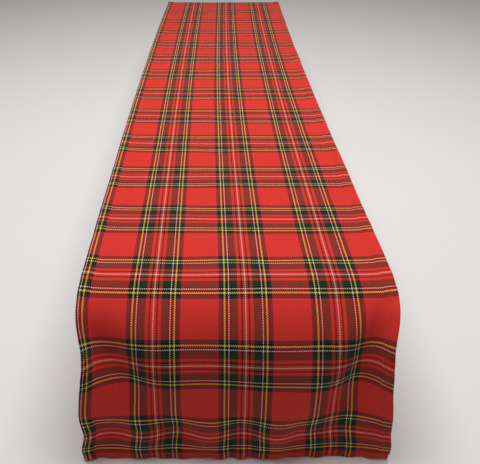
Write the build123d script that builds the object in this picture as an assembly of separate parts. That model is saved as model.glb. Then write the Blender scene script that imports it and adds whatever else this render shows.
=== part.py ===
from build123d import *
import os
from math import cos, radians, sin

# Table runner: one long strip of checked cloth, with a double-turned and topstitched hem on all four
# sides. Its middle lies on a table and its two ends hang over the table's ends.
# Frame, in millimetres: the origin is the middle of the cloth's underside, on the table top. +X is across
# the runner, +Y along it and +Z up. The front drop hangs at -Y and the back drop at +Y.

# Whole runner, laid out flat
RUNNER_WIDTH = 381.0
RUNNER_LENGTH = 1829.0

# Cloth and hems
CLOTH = 0.8  # one layer of brushed cloth
TURNED_UNDER = 2 * CLOTH  # the two layers folded beneath the top one in a hem
HEM_WIDTH = 12.0
HEM_RAMP = 6.0  # width over which the top layer climbs onto a side hem

# How it lies: flat on the table, rolled softly over the table's end, then down a drop that ends straight
TABLE_STRETCH = 1305.0  # between the two places where the cloth leaves the table
BEND_RADIUS = 75.0
BEND_ANGLE = 60.0
SETTLE_LENGTH = 60.0  # below the bend, where the cloth turns the rest of the way down
SETTLE_ANGLE = 20.0

# Lockstitch seams: a needle thread on the face, and a bobbin thread sunk into the back
SEAM_INSET = 10.0  # from the cloth's edge to the middle of the stitches
THREAD_WIDTH = 0.5
THREAD_HEIGHT = 0.25

# Worked out from the above
HALF_WIDTH = RUNNER_WIDTH / 2
HEM_INNER = HALF_WIDTH - HEM_WIDTH
FIELD_EDGE = HEM_INNER - HEM_RAMP
DROP_LENGTH = (RUNNER_LENGTH - TABLE_STRETCH) / 2
BEND_LENGTH = BEND_RADIUS * radians(BEND_ANGLE)
TAIL_LENGTH = DROP_LENGTH - BEND_LENGTH - SETTLE_LENGTH

# Half of the cloth's route, from the middle of the table to the front end: (length, 0) is a straight run,
# and (length, degrees) a run that turns steadily downwards.
HALF_ROUTE = [
    (TABLE_STRETCH / 2, 0),
    (BEND_LENGTH, BEND_ANGLE),
    (SETTLE_LENGTH, SETTLE_ANGLE),
    (TAIL_LENGTH, 0),
]


def section_plane(y, z, dip):
    """Plane square to the route at one point: its x runs across the runner and its y out of the face.
    dip is how far the route points down there, in degrees."""
    return Plane(origin=(0, y, z), x_dir=(1, 0, 0), z_dir=(0, -cos(radians(dip)), -sin(radians(dip))))


def section_planes(route=HALF_ROUTE):
    """The section planes at the start of each run of a route, and at its end."""
    y, z, dip = 0.0, 0.0, 0.0
    planes = [section_plane(y, z, dip)]
    for length, turn in route:
        if turn:
            radius = length / radians(turn)
            y -= radius * (sin(radians(dip + turn)) - sin(radians(dip)))
            z += radius * (cos(radians(dip + turn)) - cos(radians(dip)))
        else:
            y -= length * cos(radians(dip))
            z -= length * sin(radians(dip))
        dip += turn
        planes.append(section_plane(y, z, dip))
    return planes


def whole(outline, route=HALF_ROUTE):
    """A closed outline of (across, above) points, carried along a half route and mirrored to the back."""
    runs = []
    for plane, (length, turn) in zip(section_planes(route), route):
        section = plane * make_face(Polyline(*outline, close=True))
        if turn:
            centre = plane.origin - plane.y_dir * (length / radians(turn))
            runs.append(revolve(section, axis=Axis(centre, (1, 0, 0)), revolution_arc=turn))
        else:
            runs.append(extrude(section, amount=length))
    half = runs[0] + runs[1:]
    return half + mirror(half, about=Plane.XZ)


def on_side(outline, side):
    """An outline drawn for the right-hand edge, put at the right (1) or left (-1) edge."""
    return [(side * across, above) for across, above in outline]


def end_plane(tip):
    """Plane at the left corner of the front end: its x runs back up the drop, its y out of the face, its z across."""
    return Plane(origin=tip.origin - (HALF_WIDTH, 0, 0), x_dir=-tip.z_dir, z_dir=(1, 0, 0))


def runner_panel():
    """The top layer: flat in the field, and stepped up over the two side hems."""
    low = [(FIELD_EDGE, 0), (HEM_INNER, TURNED_UNDER), (HALF_WIDTH, TURNED_UNDER)]
    high = [(across, above + CLOTH) for across, above in reversed(low)]
    right = low + high
    left = [(-across, above) for across, above in reversed(right)]
    return whole(right + left)


def groove(middle, floor):
    """Four points that cut the bobbin thread's groove into an underside at height floor."""
    near, far = middle - THREAD_WIDTH / 2, middle + THREAD_WIDTH / 2
    return [(near, floor), (near, floor + THREAD_HEIGHT), (far, floor + THREAD_HEIGHT), (far, floor)]


def side_hem(side):
    """The two layers turned under along one long edge, grooved for the bobbin thread."""
    outline = [(HEM_INNER, 0), *groove(HALF_WIDTH - SEAM_INSET, 0), (HALF_WIDTH, 0)]
    outline += [(HALF_WIDTH, TURNED_UNDER), (HEM_INNER, TURNED_UNDER)]
    return whole(on_side(outline, side))


def end_hem(tip):
    """The two layers turned under along the front end. They pass beneath both side hems."""
    outline = [(0, -TURNED_UNDER), *groove(SEAM_INSET, -TURNED_UNDER), (HEM_WIDTH, -TURNED_UNDER)]
    outline += [(HEM_WIDTH, 0), (0, 0)]
    return extrude(end_plane(tip) * make_face(Polyline(*outline, close=True)), amount=RUNNER_WIDTH)


def side_needle_thread(side):
    """Thread on the face of one long edge. It stops at the end seams, which cross it."""
    near = HALF_WIDTH - SEAM_INSET - THREAD_WIDTH / 2
    far = near + THREAD_WIDTH
    foot = TURNED_UNDER + CLOTH
    outline = [(near, foot), (far, foot), (far, foot + THREAD_HEIGHT), (near, foot + THREAD_HEIGHT)]
    past_seam = SEAM_INSET + THREAD_WIDTH / 2
    return whole(on_side(outline, side), HALF_ROUTE[:-1] + [(TAIL_LENGTH - past_seam, 0)])


def side_bobbin_thread(side):
    """Thread that fills the groove under one side hem, flush with the back."""
    return whole(on_side(groove(HALF_WIDTH - SEAM_INSET, 0), side))


def end_needle_thread(tip):
    """Thread across the face of the front end, edge to edge, over the steps at the side hems."""
    foot = [(FIELD_EDGE, CLOTH), (HEM_INNER, TURNED_UNDER + CLOTH), (HALF_WIDTH, TURNED_UNDER + CLOTH)]
    top = [(across, above + THREAD_HEIGHT) for across, above in reversed(foot)]
    right = foot + top
    outline = right + [(-across, above) for across, above in reversed(right)]
    start = tip.offset(-SEAM_INSET - THREAD_WIDTH / 2)
    return extrude(start * make_face(Polyline(*outline, close=True)), amount=THREAD_WIDTH)


def end_bobbin_thread(tip):
    """Thread that fills the groove under the front hem."""
    outline = groove(SEAM_INSET, -TURNED_UNDER)
    return extrude(end_plane(tip) * make_face(Polyline(*outline, close=True)), amount=RUNNER_WIDTH)


tip = section_planes()[-1]
parts = {"runner_panel": runner_panel()}
for name, side in (("left", -1), ("right", 1)):
    parts[f"{name}_hem"] = side_hem(side)
    parts[f"{name}_needle_thread"] = side_needle_thread(side)
    parts[f"{name}_bobbin_thread"] = side_bobbin_thread(side)
for kind, make in (
    ("hem", end_hem),
    ("needle_thread", end_needle_thread),
    ("bobbin_thread", end_bobbin_thread),
):
    parts[f"front_{kind}"] = make(tip)
    parts[f"back_{kind}"] = mirror(make(tip), about=Plane.XZ)

os.makedirs("parts", exist_ok=True)
for name, part in parts.items():
    export_step(part, f"parts/{name}.step")
    print(name, len(part.solids()), "solid, volume", round(part.volume, 1), "mm3")
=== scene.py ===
import math

import bpy
import numpy as np
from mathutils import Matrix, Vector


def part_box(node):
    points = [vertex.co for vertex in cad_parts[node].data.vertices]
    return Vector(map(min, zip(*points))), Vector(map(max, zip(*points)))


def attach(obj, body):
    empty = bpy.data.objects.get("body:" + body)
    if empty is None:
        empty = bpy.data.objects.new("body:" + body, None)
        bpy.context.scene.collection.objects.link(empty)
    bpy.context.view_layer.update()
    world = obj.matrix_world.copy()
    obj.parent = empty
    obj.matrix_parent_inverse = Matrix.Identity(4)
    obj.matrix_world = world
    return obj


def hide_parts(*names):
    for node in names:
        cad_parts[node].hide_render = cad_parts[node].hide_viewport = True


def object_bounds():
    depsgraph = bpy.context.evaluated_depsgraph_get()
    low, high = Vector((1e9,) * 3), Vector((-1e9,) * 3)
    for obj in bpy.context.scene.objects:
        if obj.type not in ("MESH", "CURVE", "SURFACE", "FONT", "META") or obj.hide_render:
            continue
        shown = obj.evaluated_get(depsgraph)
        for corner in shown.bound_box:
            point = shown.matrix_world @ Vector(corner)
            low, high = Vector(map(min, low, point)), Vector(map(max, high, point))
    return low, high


# A tartan table runner, draped over a table that isn't shown. Everything is in metres, in the frame of
# the CAD model: +X across the runner, +Y along it, z = 0 under the cloth where it lies flat.
# The cloth is described by three cloth coordinates: u across it, v along it from its middle, and n, the
# height above the underside of a single layer. place(u, v, n) gives where such a point lies when draped.
# On a drop, s is the distance down the cloth from where it leaves the table.

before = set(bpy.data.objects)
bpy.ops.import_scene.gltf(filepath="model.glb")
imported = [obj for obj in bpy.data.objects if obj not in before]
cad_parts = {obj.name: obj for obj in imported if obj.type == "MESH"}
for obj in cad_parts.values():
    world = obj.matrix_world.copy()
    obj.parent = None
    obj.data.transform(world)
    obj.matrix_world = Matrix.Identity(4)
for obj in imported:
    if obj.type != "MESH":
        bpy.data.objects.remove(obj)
cad_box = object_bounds()
panel_low, panel_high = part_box("runner_panel")

# ---------------------------------------------------------------- sizes of the runner
WIDTH = panel_high[0] - panel_low[0]
LENGTH = 1.829
CLOTH = 0.0008
TURNED_UNDER = 2 * CLOTH
HEM_WIDTH = 0.012
HEM_RAMP = 0.006
EDGE_ROUND = 0.0012  # half the thickness of a folded edge
SEAM_INSET = 0.010
HALF_WIDTH, HALF_LENGTH = WIDTH / 2, LENGTH / 2

# The route over the table's end, as in the CAD model
TABLE_STRETCH = 1.305
BEND_RADIUS, BEND_ANGLE = 0.075, math.radians(60)
SETTLE_LENGTH, SETTLE_ANGLE = 0.060, math.radians(20)
BEND_LENGTH = BEND_RADIUS * BEND_ANGLE
SETTLE_RADIUS = SETTLE_LENGTH / SETTLE_ANGLE
FINAL_DIP = BEND_ANGLE + SETTLE_ANGLE
DROP_LENGTH = (LENGTH - TABLE_STRETCH) / 2

# ---------------------------------------------------------------- the tartan
REPEAT = 0.1082
SET_OFFSET = 0.0090  # the middle stripes stand this far to the right of the cloth's centreline
BAND_OFFSET = TABLE_STRETCH / 2 + 0.0038  # a crossing band's centre is this far in front of the middle
# Half of the sett in threads, from the middle of a set of stripes to the middle of the red ground
SETT = [
    ("white", 1), ("red", 4), ("black", 3), ("red", 6), ("green", 12), ("black", 3), ("white", 2),
    ("black", 5), ("yellow", 3), ("black", 4), ("navy", 5), ("red", 34),
]
THREADS = 2 * sum(count for _, count in SETT)  # in one repeat
YARN = {  # linear colours
    "red": (0.80, 0.054, 0.039),
    "green": (0.015, 0.046, 0.014),
    "navy": (0.056, 0.022, 0.062),
    "black": (0.008, 0.006, 0.007),
    "white": (0.95, 0.82, 0.71),
    "yellow": (0.95, 0.84, 0.105),
}
UNDER_THREAD = 0.35  # how much of the thread beneath shows through the nap of the one on top


# ---------------------------------------------------------------- the drape
UPPER_BAND = 0.087  # s of a drop's upper crossing band, where its folds are placed
SWELL_PLACE, SWELL_SHARE = 1.9, 0.25  # of the swells beside a fold, against its width and its depth
TAIL_IN = 0.004  # how far the end of the front drop hangs in
END_SPREAD = 0.02  # how much wider the end of the front drop is made, to match the photograph's outline
RUNNER_BOW = 0.007  # how far the middle of the runner lies to the left of its ends
WEFT_BOW = 0.0020  # how far the weft is drawn curving back at the side edges
LEAST_COSINE_SQUARED = 0.2  # of a fold's slope, however steep its formula makes it
ACROSS_STEPS = 24


def ramp(value, start, end):
    """0 before start, 1 after end, smooth between."""
    t = np.clip((value - start) / (end - start), 0, 1)
    return t * t * (3 - 2 * t)


def bell(value, centre, width):
    """1 at centre, dying away to both sides."""
    return np.exp(-(((value - centre) / width) ** 2))


def fold(u, s, at, drift, width, widening, depth, deepest, spread):
    """A soft valley that runs down a drop, with a low swell on each side of it. At the upper crossing band
    it is at u = at and has the given width, and drift and widening are what they gain per metre below. It
    is as deep as depth at s = deepest, and shallower over spread above and below."""
    below = s - UPPER_BAND
    t = (u - at - drift * below) / (width + widening * below)
    swells = bell(t, SWELL_PLACE, 1) + bell(t, -SWELL_PLACE, 1)
    profile = SWELL_SHARE * swells - bell(t, 0, 1)
    return depth * bell(s, deepest, spread) * ramp(s, 0.012, 0.085) * profile


def flare(u, s, side, size, furthest, spread, reach):
    """A side edge that stands out from the drop, most at s = furthest. It dies away inwards over reach."""
    return size * bell(s, furthest, spread) * ramp(s, 0, 0.06) * np.exp((side * u - HALF_WIDTH) / reach)


def front_folds(u, s):
    """The folds of the front drop, which the photograph shows: a valley that slants in from the left, one
    at the right, low waves above the hem, a fuller middle, and side edges that stand out."""
    height = fold(
        u, s, at=-0.166, drift=0.52, width=0.034, widening=-0.08,
        depth=0.0122, deepest=0.105, spread=0.075,
    )
    height += fold(
        u, s, at=0.161, drift=-0.23, width=0.020, widening=0.14,
        depth=0.0122, deepest=0.135, spread=0.105,
    )
    waves = np.cos(math.tau * (u + 0.074) / 0.082) * (1 - ramp(u, 0.060, 0.100))
    height -= 0.0042 * waves * bell(s, 0.214, 0.028)
    height += 0.0060 * bell(u, 0.050, 0.060) * bell(s, 0.120, 0.080)
    height += flare(u, s, -1, size=0.0100, furthest=0.090, spread=0.065, reach=0.017)
    height += flare(u, s, 1, size=0.0085, furthest=0.085, spread=0.080, reach=0.016)
    return height - TAIL_IN * ramp(s, 0.180, 0.262)


def back_folds(u, s):
    """The folds of the back drop, which the photograph doesn't show."""
    height = fold(
        u, s, at=-0.120, drift=-0.12, width=0.036, widening=0.10,
        depth=0.0110, deepest=0.170, spread=0.090,
    )
    height += fold(
        u, s, at=0.020, drift=0.10, width=0.030, widening=0.12,
        depth=0.0070, deepest=0.210, spread=0.080,
    )
    height += fold(
        u, s, at=0.150, drift=-0.30, width=0.030, widening=0.10,
        depth=0.0125, deepest=0.120, spread=0.100,
    )
    return height


def lie(u, v):
    """Unevenness of the flat stretch: never below the table."""
    waves = np.sin(v * 31 + 1.3 * np.sin(u * 9 + 0.4)) * np.sin(u * 17 + v * 6 + 0.8)
    slow = np.sin(v * 13.1 - u * 7.3 + 2.0)
    short = np.sin(u * 58 + v * 13 + 1.1) * np.sin(v * 23 + 0.6)
    return 0.0007 * (1 + waves) + 0.0004 * (1 + slow) + 0.0005 * (1 + short)


def pucker(u, v):
    """Small ripples that the seams draw into the hems."""
    at_side = bell(np.abs(u), HALF_WIDTH, 0.016)
    at_end = bell(np.abs(v), HALF_LENGTH, 0.014)
    side_waves = np.sin(v * 173 + 2.1 * np.sin(v * 37)) + 0.6 * np.sin(v * 287 + 1.7)
    end_waves = np.sin(u * 151 + 1.9 * np.sin(u * 43)) + 0.6 * np.sin(u * 263 + 0.5)
    return 0.0004 * at_side * (1.2 + side_waves) + 0.0010 * at_end * end_waves


def swell(u, v):
    """How far the cloth stands out from the plain route, square to it."""
    s = np.abs(v) - TABLE_STRETCH / 2
    flat = lie(u, v) * (1 - ramp(s, -0.02, 0.05))
    drop = np.where(v < 0, front_folds(u, s), back_folds(u, s))
    return flat + np.where(s > 0, drop, 0) + pucker(u, v)


def across(u, v):
    """Where u comes to lie across the runner: folds draw the cloth in, because its width can't grow. It
    adds up the cloth's width as seen from above, in steps from the middle."""
    total = np.zeros_like(u)
    step = 1e-4
    for k in range(ACROSS_STEPS):
        at = u * (k + 0.5) / ACROSS_STEPS
        slope = (swell(at + step, v) - swell(at - step, v)) / (2 * step)
        total += np.sqrt(np.maximum(1 - slope * slope, LEAST_COSINE_SQUARED))
    return u * total / ACROSS_STEPS


def route(v):
    """(y, z, dip) of the plain route: flat, over the table's end and down."""
    s = np.maximum(np.abs(v) - TABLE_STRETCH / 2, 0)
    bend = np.minimum(s / BEND_RADIUS, BEND_ANGLE)
    settle = BEND_ANGLE + np.clip(s - BEND_LENGTH, 0, SETTLE_LENGTH) / SETTLE_RADIUS
    tail = np.maximum(s - BEND_LENGTH - SETTLE_LENGTH, 0)
    out = BEND_RADIUS * np.sin(bend) + tail * math.cos(FINAL_DIP)
    out += SETTLE_RADIUS * (np.sin(settle) - math.sin(BEND_ANGLE))
    down = BEND_RADIUS * (1 - np.cos(bend)) + tail * math.sin(FINAL_DIP)
    down += SETTLE_RADIUS * (math.cos(BEND_ANGLE) - np.cos(settle))
    dip = np.where(s > BEND_LENGTH, settle, bend)
    y = np.sign(v) * (np.minimum(np.abs(v), TABLE_STRETCH / 2) + out)
    return y, -down, dip


def weft_bow(u, v):
    """How far the weft curves back towards the side edges. It is set to match the photograph's crossing
    bands, and it fades out down the front drop."""
    return WEFT_BOW * (u / HALF_WIDTH) ** 4 * ramp(v + TABLE_STRETCH / 2, -0.11, -0.03)


def ease(v):
    """The free end of the front drop is made wider than the cloth, because its outline and stripes are
    wider in the photograph than this camera gives otherwise. Why they are isn't known."""
    return 1 + END_SPREAD * ramp(-v - TABLE_STRETCH / 2, 0.14, 0.26)


def bow(v):
    """The runner lies a little bowed, as its outline and stripes look in the photograph."""
    return -RUNNER_BOW * np.cos(np.clip(v / TABLE_STRETCH, -0.5, 0.5) * math.pi)


def underside(u, v):
    """Where the underside of a single layer lies."""
    y, z, dip = route(v)
    d = swell(u, v)
    side = np.sign(v)
    x = across(u, v) * ease(v) + bow(v)
    return np.stack([x, y + d * side * np.sin(dip), z + d * np.cos(dip)], axis=-1)


def place(u, v, n):
    """Draped positions of cloth points."""
    u, v, n = (np.asarray(x, float) for x in np.broadcast_arrays(u, v, n))
    step = 4e-4
    here = underside(u, v)
    normal = np.cross(underside(u + step, v) - here, underside(u, v + step) - here)
    normal /= np.linalg.norm(normal, axis=-1, keepdims=True)
    return here + n[..., None] * normal


def side_lift(u):
    """How far the top layer is lifted by the side hems under it."""
    return TURNED_UNDER * ramp(np.abs(u), HALF_WIDTH - HEM_WIDTH - HEM_RAMP, HALF_WIDTH - HEM_WIDTH)


# ---------------------------------------------------------------- meshes
def stations(stops):
    """Values along a line from (start, spacing) stops, ending at the last stop's start."""
    values = []
    for (start, gap), (end, _) in zip(stops, stops[1:]):
        values.append(np.linspace(start, end, max(1, round((end - start) / gap)), endpoint=False))
    return np.concatenate([*values, [stops[-1][0]]])


def across_stations(limit):
    """Values of u from -limit to limit, closer together at the side hems."""
    inner = HALF_WIDTH - HEM_WIDTH - HEM_RAMP - 0.002
    half = stations([(0, 0.0050), (inner, 0.0015), (limit, 0)])
    return np.concatenate([-half[:0:-1], half])


def along_stations(limit):
    """Values of v from -limit to limit, closer together on the drops."""
    start = TABLE_STRETCH / 2
    half = stations([(0, 0.0090), (start - 0.03, 0.0035), (limit, 0)])
    return np.concatenate([-half[:0:-1], half])


def mesh_object(name, points, faces, cloth_uv, material):
    """A smooth mesh from arrays. cloth_uv holds each vertex's (u, v) on the cloth."""
    mesh = bpy.data.meshes.new(name)
    mesh.from_pydata(points.reshape(-1, 3).tolist(), [], faces)
    bowed = cloth_uv[..., 1] - weft_bow(cloth_uv[..., 0], cloth_uv[..., 1])
    cloth_uv = np.stack([cloth_uv[..., 0], bowed], axis=-1)
    layer = mesh.uv_layers.new(name="cloth")
    corner = np.empty(len(mesh.loops), dtype=np.int32)
    mesh.loops.foreach_get("vertex_index", corner)
    layer.data.foreach_set("uv", cloth_uv.reshape(-1, 2)[corner].astype(np.float32).ravel())
    mesh.shade_smooth()
    mesh.materials.append(material)
    mesh.validate()
    obj = bpy.data.objects.new(name, mesh)
    bpy.context.scene.collection.objects.link(obj)
    return obj


def tube_faces(rings, around):
    """Quads of a closed profile swept through rings, with its two ends filled."""
    faces = []
    for r in range(rings - 1):
        for k in range(around):
            a, b = r * around + k, r * around + (k + 1) % around
            faces.append((a, b, b + around, a + around))
    faces.append(tuple(range(around))[::-1])
    faces.append(tuple(range((rings - 1) * around, rings * around)))
    return faces


def make_panel(material):
    """The top layer: one closed sheet, lifted over the side hems, ending where its edges fold over."""
    us = across_stations(HALF_WIDTH - EDGE_ROUND)
    vs = along_stations(HALF_LENGTH - EDGE_ROUND)
    u, v = np.meshgrid(us, vs)
    low = side_lift(u)
    points = np.concatenate([place(u, v, low + CLOTH), place(u, v, low)])
    rows, columns = u.shape
    count = rows * columns
    faces = []
    for r in range(rows - 1):
        for c in range(columns - 1):
            a = r * columns + c
            quad = (a, a + 1, a + 1 + columns, a + columns)
            faces.append(quad)
            faces.append(tuple(k + count for k in reversed(quad)))
    rim = list(range(columns))
    rim += [r * columns + columns - 1 for r in range(1, rows)]
    rim += [(rows - 1) * columns + c for c in range(columns - 2, -1, -1)]
    rim += [r * columns for r in range(rows - 2, 0, -1)]
    for a, b in zip(rim, rim[1:] + rim[:1]):
        faces.append((b, a, a + count, b + count))
    uv = np.stack([u, v], axis=-1)
    return mesh_object("cloth_panel", points, faces, np.concatenate([uv, uv]), material)


def arc(start, end, steps):
    """Angles in radians from start to end, both in degrees."""
    return np.radians(np.linspace(start, end, steps))


def hem_profile(edge, low, top):
    """Outline of the folded edge, as (distance from the middle, n, cloth distance) arrays. edge is where
    the fold's outside lies, low its underside and top the face of the cloth that folds over."""
    outer, inner = arc(90, -90, 9), arc(-90, -270, 7)
    middle, half = (low + top) / 2, (top - low) / 2
    turn_start = edge - EDGE_ROUND
    inner_middle = edge - HEM_WIDTH + CLOTH
    under = np.linspace(turn_start, inner_middle, 5)[1:-1]
    distance = [turn_start + EDGE_ROUND * np.cos(outer), under, inner_middle + CLOTH * np.cos(inner)]
    height = [middle + half * np.sin(outer), np.full_like(under, low), low + CLOTH + CLOTH * np.sin(inner)]
    distance = np.concatenate([*distance, [turn_start]])
    height = np.concatenate([*height, [low + TURNED_UNDER]])
    steps = np.hypot(np.diff(distance), np.diff(height))
    return distance, height, turn_start + np.concatenate([[0], np.cumsum(steps)])


def make_side_hem(name, side, material):
    """The cloth folded twice under one long edge."""
    distance, height, cloth_distance = hem_profile(HALF_WIDTH, 0, TURNED_UNDER + CLOTH)
    vs = along_stations(HALF_LENGTH - EDGE_ROUND)
    v, u = np.meshgrid(vs, side * distance, indexing="ij")
    uv = np.stack([np.broadcast_to(side * cloth_distance, u.shape), v], axis=-1)
    faces = tube_faces(len(vs), len(distance))
    if side > 0:
        faces = [f[::-1] for f in faces]
    return mesh_object(name, place(u, v, np.broadcast_to(height, u.shape)), faces, uv, material)


def make_end_hem(name, end, material):
    """The cloth folded twice under one short end, beneath the side hems."""
    us = across_stations(HALF_WIDTH)
    rings = [hem_profile(HALF_LENGTH, -TURNED_UNDER, side_lift(u) + CLOTH) for u in us]
    distance, height, cloth_distance = (np.array(x) for x in zip(*rings))
    past = np.clip((np.abs(us) - HALF_WIDTH + EDGE_ROUND) / EDGE_ROUND, 0, 1)
    rounding = np.maximum(np.sqrt(1 - past * past), 0.3)[:, None]
    middle = (height.max(axis=1, keepdims=True) + height.min(axis=1, keepdims=True)) / 2
    height = middle + (height - middle) * rounding
    u = np.broadcast_to(us[:, None], height.shape)
    uv = np.stack([u, end * cloth_distance], axis=-1)
    faces = tube_faces(len(us), height.shape[1])
    if end < 0:
        faces = [f[::-1] for f in faces]
    return mesh_object(name, place(u, end * distance, height), faces, uv, material)


STITCH_PITCH = 0.0030
STITCH_LENGTH = 0.0025
THREAD_RADIUS = 0.00024
STITCH_SLANT = math.radians(5)
random = np.random.default_rng(7)


def make_stitches(name, u, v, n, along, face, material):
    """One seam's stitches, as small arched lengths of thread. u, v and n are their middles on the cloth,
    along is 0 where the seam runs across and 1 where it runs along, and face is 1 on top, -1 beneath."""
    step = 5e-4
    middle = place(u, v, n)
    ways = [place(u + step, v, n) - middle, place(u, v + step, n) - middle]
    ways = [w / np.linalg.norm(w, axis=-1, keepdims=True) for w in ways]
    normal = np.cross(ways[0], ways[1]) * face
    slant = STITCH_SLANT + random.normal(0, math.radians(1.5), len(middle))[:, None]
    forward, beside = ways[along], ways[1 - along]
    forward, beside = (
        forward * np.cos(slant) + beside * np.sin(slant),
        beside * np.cos(slant) - forward * np.sin(slant),
    )
    length = STITCH_LENGTH * random.uniform(0.94, 1.04, len(middle))[:, None, None, None]
    rings, around = np.linspace(-1, 1, 7), np.arange(8) * math.tau / 8
    t, angle = np.meshgrid(rings, around, indexing="ij")
    thin = THREAD_RADIUS * np.sqrt(1 - (0.93 * t) ** 2)
    arch = THREAD_RADIUS * (0.55 - 1.5 * t**4)
    offset = (thin * np.cos(angle))[None, ..., None] * beside[:, None, None, :]
    offset = offset + (arch + thin * np.sin(angle))[None, ..., None] * normal[:, None, None, :]
    points = middle[:, None, None, :] + offset
    points = points + (t[None, ..., None] * length / 2) * forward[:, None, None, :]
    one = tube_faces(len(rings), len(around))
    size = len(rings) * len(around)
    faces = [tuple(k + i * size for k in f) for i in range(len(middle)) for f in one]
    uv = np.stack([t * STITCH_LENGTH / 2, angle * THREAD_RADIUS], axis=-1)
    return mesh_object(name, points, faces, np.broadcast_to(uv, (len(middle), *uv.shape)), material)


def seam_places(half_run):
    """Middles of the stitches along a seam that reaches half_run each way."""
    count = int(2 * half_run / STITCH_PITCH)
    return (np.arange(count) - (count - 1) / 2) * STITCH_PITCH


def make_side_seam(name, side, face, material):
    v = seam_places(HALF_LENGTH - 0.002)
    u = np.full_like(v, side * (HALF_WIDTH - SEAM_INSET))
    n = np.full_like(v, TURNED_UNDER + CLOTH if face > 0 else THREAD_RADIUS * 1.5)
    return make_stitches(name, u, v, n, 1, face, material)


def make_end_seam(name, end, face, material):
    u = seam_places(HALF_WIDTH - 0.002)
    v = np.full_like(u, end * (HALF_LENGTH - SEAM_INSET))
    n = side_lift(u) + CLOTH if face > 0 else np.full_like(u, THREAD_RADIUS * 1.5 - TURNED_UNDER)
    return make_stitches(name, u, v, n, 0, face, material)


# ---------------------------------------------------------------- materials
class Nodes:
    """Short ways to add shader nodes to one material."""

    def __init__(self, name):
        self.material = bpy.data.materials.new(name)
        self.material.use_nodes = True
        self.tree = self.material.node_tree
        self.shader = self.tree.nodes["Principled BSDF"]

    def node(self, kind, **settings):
        made = self.tree.nodes.new(kind)
        for key, value in settings.items():
            setattr(made, key, value)
        return made

    def feed(self, socket, value):
        if isinstance(value, bpy.types.NodeSocket):
            self.tree.links.new(value, socket)
        else:
            socket.default_value = value

    def math(self, operation, *values):
        made = self.node("ShaderNodeMath", operation=operation)
        for socket, value in zip(made.inputs, values):
            self.feed(socket, value)
        return made.outputs[0]

    def mix(self, share, first, second, blend="MIX"):
        made = self.node("ShaderNodeMix", data_type="RGBA", blend_type=blend)
        for socket, value in zip((made.inputs[0], made.inputs[6], made.inputs[7]), (share, first, second)):
            self.feed(socket, value)
        return made.outputs[2]

    def blend(self, share, first, second):
        made = self.node("ShaderNodeMix", data_type="FLOAT")
        for socket, value in zip((made.inputs[0], made.inputs[2], made.inputs[3]), (share, first, second)):
            self.feed(socket, value)
        return made.outputs[0]

    def noise(self, vector, scale, detail=2.0, roughness=0.5):
        made = self.node("ShaderNodeTexNoise")
        self.feed(made.inputs["Vector"], vector)
        self.feed(made.inputs["Scale"], scale)
        self.feed(made.inputs["Detail"], detail)
        self.feed(made.inputs["Roughness"], roughness)
        return made.outputs["Fac"]

    def random(self, value):
        made = self.node("ShaderNodeTexWhiteNoise", noise_dimensions="1D")
        self.feed(made.inputs["W"], value)
        return made.outputs["Value"]

    def bump(self, height, distance, strength=1.0):
        made = self.node("ShaderNodeBump")
        self.feed(made.inputs["Height"], height)
        self.feed(made.inputs["Distance"], distance)
        self.feed(made.inputs["Strength"], strength)
        self.feed(self.shader.inputs["Normal"], made.outputs["Normal"])

    def cloth_uv(self):
        place_on_cloth = self.node("ShaderNodeUVMap", uv_map="cloth").outputs[0]
        parts = self.node("ShaderNodeSeparateXYZ")
        self.feed(parts.inputs[0], place_on_cloth)
        return place_on_cloth, parts.outputs[0], parts.outputs[1]

    def set(self, **values):
        for key, value in values.items():
            self.shader.inputs[key.replace("_", " ")].default_value = value


def sett_colour(nodes, thread):
    """The yarn colour of a numbered thread, read from the sett, which mirrors at both of its ends."""
    half = THREADS / 2
    place_in_sett = nodes.math("PINGPONG", nodes.math("ADD", thread, 0.5), half)
    table = nodes.node("ShaderNodeValToRGB")
    table.color_ramp.interpolation = "CONSTANT"
    stops = table.color_ramp.elements
    start = 0
    for number, (name, count) in enumerate(SETT):
        stop = stops[0] if number == 0 else stops.new(start / half)
        stop.color = (*YARN[name], 1)
        start += count
    stops.remove(stops[-1])
    nodes.feed(table.inputs[0], nodes.math("DIVIDE", place_in_sett, half))
    return table.outputs[0]


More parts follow.
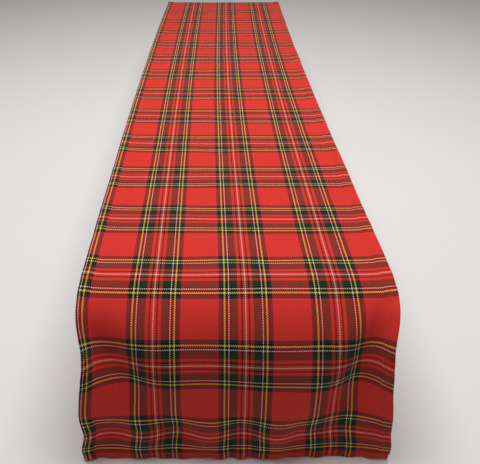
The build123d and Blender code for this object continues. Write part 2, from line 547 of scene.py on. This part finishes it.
def tartan():
    """Brushed yarn-dyed 2/2 twill. Every crossing shows its warp or its weft thread on top."""
    nodes = Nodes("tartan_twill")
    where, u, v = nodes.cloth_uv()

    # Where a point is, counted in threads. The threads wander by a part of their width.
    wander = nodes.math("SUBTRACT", nodes.noise(where, 600.0), 0.5)
    density = THREADS / REPEAT
    warp_at = nodes.math("MULTIPLY_ADD", u, density, -SET_OFFSET * density)
    weft_at = nodes.math("MULTIPLY_ADD", v, density, BAND_OFFSET * density)
    warp_at = nodes.math("MULTIPLY_ADD", wander, 0.6, warp_at)
    weft_at = nodes.math("MULTIPLY_ADD", wander, -0.6, weft_at)
    warp, weft = nodes.math("FLOOR", warp_at), nodes.math("FLOOR", weft_at)

    # Twill: over two threads and under two, one thread further along in each row.
    step = nodes.math("FLOORED_MODULO", nodes.math("ADD", warp, weft), 4.0)
    warp_on_top = nodes.math("LESS_THAN", step, 1.5)
    warp_colour, weft_colour = sett_colour(nodes, warp), sett_colour(nodes, weft)
    top = nodes.mix(warp_on_top, weft_colour, warp_colour)
    beneath = nodes.mix(warp_on_top, warp_colour, weft_colour)
    colour = nodes.mix(UNDER_THREAD, top, beneath, "MULTIPLY")

    # A thread is round across, and arched along the two threads that it passes over.
    round_warp, round_weft = (nodes.math("PINGPONG", at, 0.5) for at in (warp_at, weft_at))
    arch_warp = nodes.math("PINGPONG", nodes.math("ADD", warp, weft_at), 1.0)
    arch_weft = nodes.math("PINGPONG", nodes.math("ADD", warp_at, weft), 1.0)
    height_warp = nodes.math("MULTIPLY", round_warp, arch_warp)
    height_weft = nodes.math("MULTIPLY", round_weft, arch_weft)
    height = nodes.blend(warp_on_top, height_weft, height_warp)
    height = nodes.math("SQRT", nodes.math("MULTIPLY", height, 2.0))

    # Each thread took the dye a little differently, and the brushed nap is uneven. Painted shade between
    # the threads is added to the colour as well.
    dye = nodes.math("ADD", nodes.random(warp), nodes.random(nodes.math("ADD", weft, 0.5)))
    nap = nodes.noise(where, 1500.0, 3.0, 0.6)
    patches = nodes.noise(where, 14.0, 2.0)
    light = nodes.math("MULTIPLY_ADD", dye, 0.05, 0.70)
    light = nodes.math("MULTIPLY_ADD", nap, 0.16, light)
    light = nodes.math("MULTIPLY_ADD", patches, 0.08, light)
    # Painted shade: the colour is darker at each thread's edges and where it dips under the next thread,
    # and lighter on its crown.
    light = nodes.math("MULTIPLY_ADD", height, 0.20, light)
    scaled = nodes.node("ShaderNodeVectorMath", operation="SCALE")
    nodes.feed(scaled.inputs[0], colour)
    nodes.feed(scaled.inputs["Scale"], light)
    nodes.feed(nodes.shader.inputs["Base Color"], scaled.outputs[0])

    nodes.bump(nodes.math("MULTIPLY_ADD", nap, 0.5, height), 0.00022)
    nodes.feed(nodes.shader.inputs["Roughness"], nodes.math("MULTIPLY_ADD", nap, 0.18, 0.78))
    nodes.set(Sheen_Weight=0.08, Sheen_Roughness=0.5, Sheen_Tint=(1, 0.92, 0.9, 1), Specular_IOR_Level=0.15)
    return nodes.material


def sewing_thread():
    """Red polyester thread, twisted from fine strands."""
    nodes = Nodes("sewing_thread")
    where, along, around = nodes.cloth_uv()
    turn = nodes.math("MULTIPLY", around, 9000.0)
    twist = nodes.math("SINE", nodes.math("MULTIPLY_ADD", along, 16000.0, turn))
    speck = nodes.noise(where, 2500.0)
    colour = nodes.mix(speck, (0.33, 0.012, 0.010, 1), (0.52, 0.030, 0.024, 1))
    nodes.feed(nodes.shader.inputs["Base Color"], colour)
    nodes.bump(twist, 0.00003)
    nodes.feed(nodes.shader.inputs["Roughness"], nodes.math("MULTIPLY_ADD", speck, 0.2, 0.4))
    nodes.set(Sheen_Weight=0.2, Sheen_Roughness=0.4, Specular_IOR_Level=0.35)
    return nodes.material


def studio_floor():
    """Plain pale floor."""
    nodes = Nodes("studio_floor")
    where = nodes.node("ShaderNodeTexCoord").outputs["Object"]
    tone = nodes.mix(nodes.noise(where, 3.0), (0.80, 0.79, 0.77, 1), (0.83, 0.82, 0.80, 1))
    nodes.feed(nodes.shader.inputs["Base Color"], tone)
    nodes.set(Roughness=0.9, Specular_IOR_Level=0.2)
    return nodes.material


# ---------------------------------------------------------------- the runner
cloth = tartan()
thread = sewing_thread()

panel = make_panel(cloth)
pieces = {"runner_panel": (panel, "tartan_cloth")}
for word, side in (("left", -1), ("right", 1)):
    pieces[f"{word}_hem"] = (make_side_hem(f"{word}_hem_fold", side, cloth), "tartan_cloth")
for word, end in (("front", -1), ("back", 1)):
    pieces[f"{word}_hem"] = (make_end_hem(f"{word}_hem_fold", end, cloth), "tartan_cloth")
for kind, face in (("needle", 1), ("bobbin", -1)):
    for word, side in (("left", -1), ("right", 1)):
        seam = make_side_seam(f"{word}_{kind}_stitches", side, face, thread)
        pieces[f"{word}_{kind}_thread"] = (seam, f"{kind}_thread")
    for word, end in (("front", -1), ("back", 1)):
        seam = make_end_seam(f"{word}_{kind}_stitches", end, face, thread)
        pieces[f"{word}_{kind}_thread"] = (seam, f"{kind}_thread")

for node, (piece, slot) in pieces.items():
    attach(piece, "root")
    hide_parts(node)

# ---------------------------------------------------------------- studio
FLOOR_SIZE = 14
FLOOR_GAP = 0.0005  # below the lowest hem
visual_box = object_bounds()
bpy.ops.mesh.primitive_grid_add(size=FLOOR_SIZE, x_subdivisions=8, y_subdivisions=8)
floor = bpy.context.object
floor.name = "studio_floor"
floor.location.z = min(visual_box[0][2], cad_box[0][2]) - FLOOR_GAP
floor.data.materials.append(studio_floor())

# One soft light above the runner, a little towards the front. An area light points down as it is made.
light_data = bpy.data.lights.new("overhead", "AREA")
light_data.shape = "RECTANGLE"
light_data.size, light_data.size_y = 1.8, 1.0
light_data.energy = 44
light = bpy.data.objects.new("overhead", light_data)
light.location = (0, -0.17, 1.9)
bpy.context.scene.collection.objects.link(light)

world = bpy.data.worlds.new("studio")
world.use_nodes = True
background = world.node_tree.nodes["Background"]
background.inputs["Color"].default_value = (1, 0.99, 0.97, 1)
background.inputs["Strength"].default_value = 0.15
bpy.context.scene.world = world
bpy.context.scene.view_settings.view_transform = "Standard"
bpy.context.scene.cycles.denoising_prefilter = "NONE"  # keeps the weave, which is finer than a pixel

CAMERA_PITCH = math.radians(29.72)  # down from level
camera_data = bpy.data.cameras.new("camera")
camera_data.sensor_width = 36
camera_data.lens = 38.175
camera_data.shift_x = 0.0506
camera_data.shift_y = -0.1827
camera = bpy.data.objects.new("camera", camera_data)
camera.location = (-0.0262, -TABLE_STRETCH / 2 - 0.4666, 0.4498)
camera.rotation_euler = (math.pi / 2 - CAMERA_PITCH, 0, 0)
bpy.context.scene.collection.objects.link(camera)
bpy.context.scene.camera = camera
